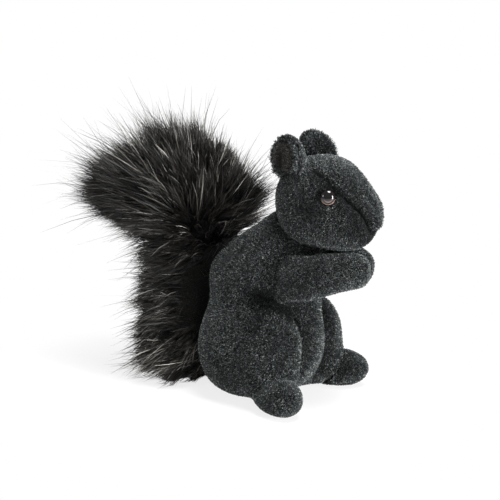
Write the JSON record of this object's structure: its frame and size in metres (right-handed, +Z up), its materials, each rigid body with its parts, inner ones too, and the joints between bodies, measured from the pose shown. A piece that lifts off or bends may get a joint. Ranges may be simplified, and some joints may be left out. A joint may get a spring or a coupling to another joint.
{
  "type": "plush_squirrel",
  "caption": "Black plush squirrel sitting up with its paws at its chest and a long-pile bushy tail curling back behind it.",
  "frame": {"origin": "middle of the flat underside that the squirrel sits on, on the floor", "axes": "+Z up, away from the floor; -Y the way the squirrel faces, with the tail behind it at +Y; +X the squirrel's left side"},
  "size_m": [0.1044, 0.2287, 0.1779],
  "materials": {
    "torso_pile": "short-pile plush, charcoal with a speckle of lighter fibres",
    "head_pile": "short-pile plush, charcoal, a little lighter on the crown",
    "limb_pile": "short-pile plush, charcoal, lighter at the paws",
    "foot_pile": "short-pile plush, charcoal",
    "ear_pile": "short-pile plush, charcoal",
    "ear_nap": "fine brushed nap, dark warm grey",
    "tail_pile": "long silky pile, warm black",
    "eye_plastic": "polished black dome with a dark brown ring",
    "washer_plastic": "plain white moulded washer, hidden inside the head"
  },
  "bodies": {
    "root": {"torso": "torso_pile", "head": "head_pile", "right_arm": "limb_pile", "left_arm": "limb_pile", "right_foot": "foot_pile", "left_foot": "foot_pile", "right_ear": "ear_pile", "left_ear": "ear_pile", "right_ear_lining": "ear_nap", "left_ear_lining": "ear_nap", "right_eye": "eye_plastic", "left_eye": "eye_plastic", "right_eye_washer": "washer_plastic", "left_eye_washer": "washer_plastic", "tail": "tail_pile"}
  },
  "joints": []
}
